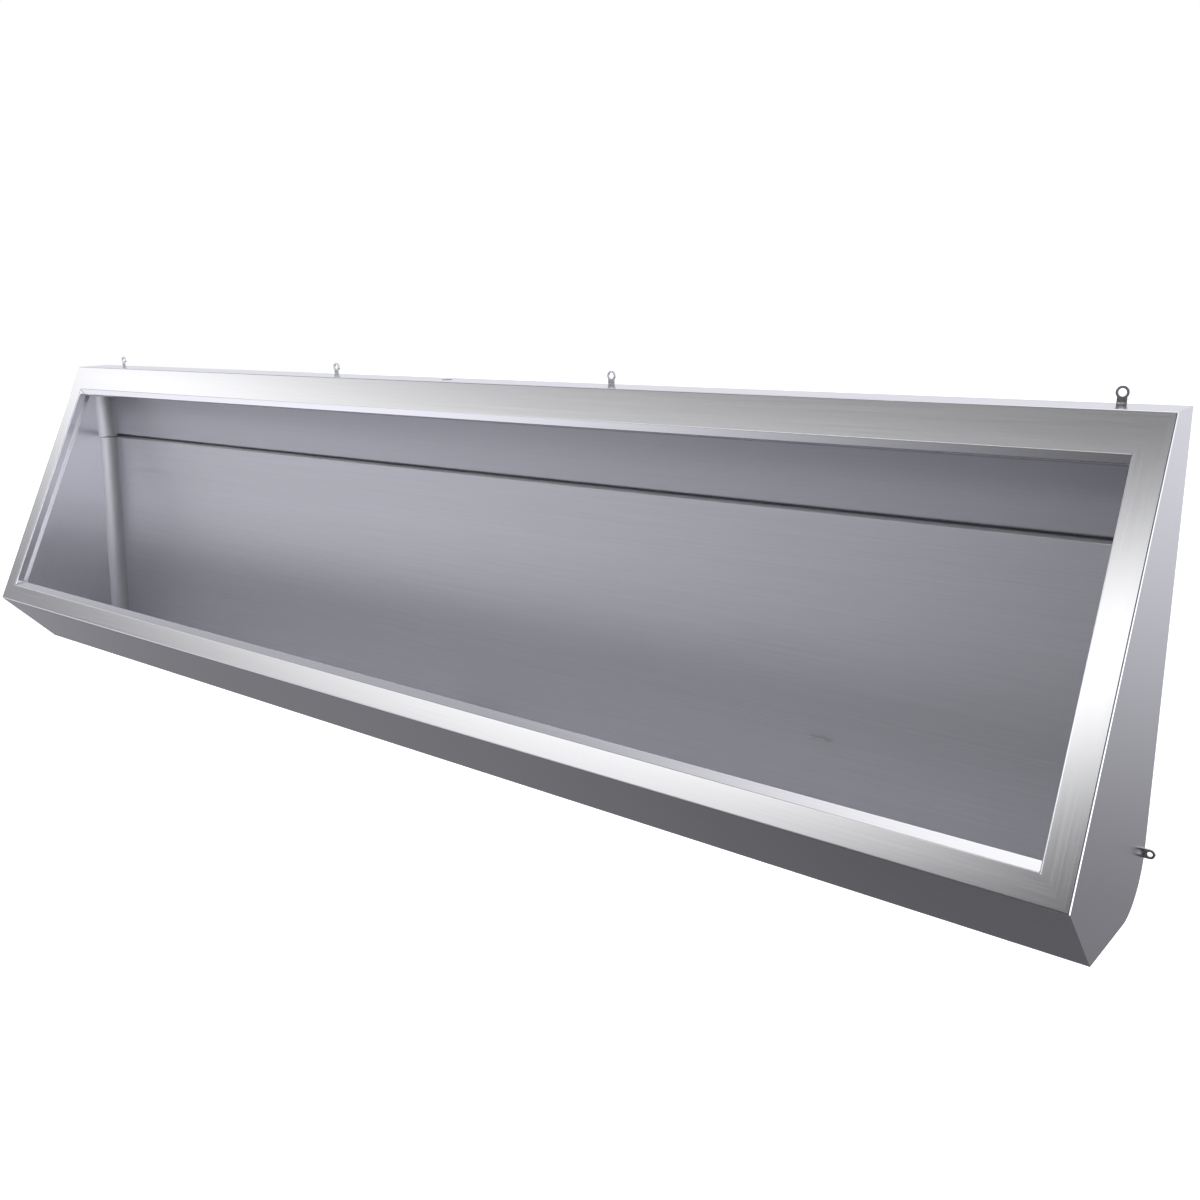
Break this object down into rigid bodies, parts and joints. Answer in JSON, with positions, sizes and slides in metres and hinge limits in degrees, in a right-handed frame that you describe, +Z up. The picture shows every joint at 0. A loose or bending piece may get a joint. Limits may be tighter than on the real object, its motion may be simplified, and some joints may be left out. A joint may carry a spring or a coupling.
{
  "type": "wall-hung trough urinal",
  "caption": "Long wall-hung stainless steel trough urinal with a sloping framed front, coved back corners, hidden flush pipe, sloping floor and lift-out waste strainer.",
  "frame": {"origin": "on the wall plane, midway between the eyes of the two outer fixing lugs, level with their centres", "axes": "+X along the trough to the user's right when facing it, +Y into the wall, +Z up"},
  "size_m": [2.427, 0.3356, 0.6925],
  "materials": {
    "stainless_steel": "satin",
    "bright_steel": "polished",
    "black_rubber": "matt",
    "grey_pad": "matt",
    "white_plastic": "satin",
    "zinc_steel": "satin",
    "brass": "satin"
  },
  "bodies": {
    "urinal": {"top_rail": "stainless_steel", "front_apron": "stainless_steel", "left_end_panel": "stainless_steel", "right_end_panel": "stainless_steel", "trough_pan": "stainless_steel", "header_panel": "stainless_steel", "ledge_gussets": "stainless_steel", "wall_sheet": "stainless_steel", "left_corner_cove": "stainless_steel", "right_corner_cove": "stainless_steel", "fixing_lugs": "stainless_steel", "side_ears": "stainless_steel", "heel_brackets": "stainless_steel", "flush_pipe": "stainless_steel", "pipe_end_caps": "stainless_steel", "pipe_clips": "stainless_steel", "clip_rivets": "stainless_steel", "inlet_socket": "stainless_steel", "inlet_elbow": "stainless_steel", "waste_cup": "stainless_steel", "floor_stiffeners": "stainless_steel", "earth_tag": "stainless_steel", "waste_body": "bright_steel", "inlet_grommet": "black_rubber", "waste_gasket": "black_rubber", "waste_washer": "white_plastic", "waste_backnut": "brass", "damping_pads": "grey_pad", "earth_washers": "zinc_steel", "earth_screw": "zinc_steel", "earth_nut": "zinc_steel"},
    "strainer": {"waste_strainer": "bright_steel", "strainer_skirt": "bright_steel", "strainer_knob": "bright_steel"}
  },
  "joints": [
    {"name": "strainer_lift", "type": "slide", "parent": "urinal", "child": "strainer", "axis": [0, 0, 1], "range_m": [0, 0.06]}
  ]
}
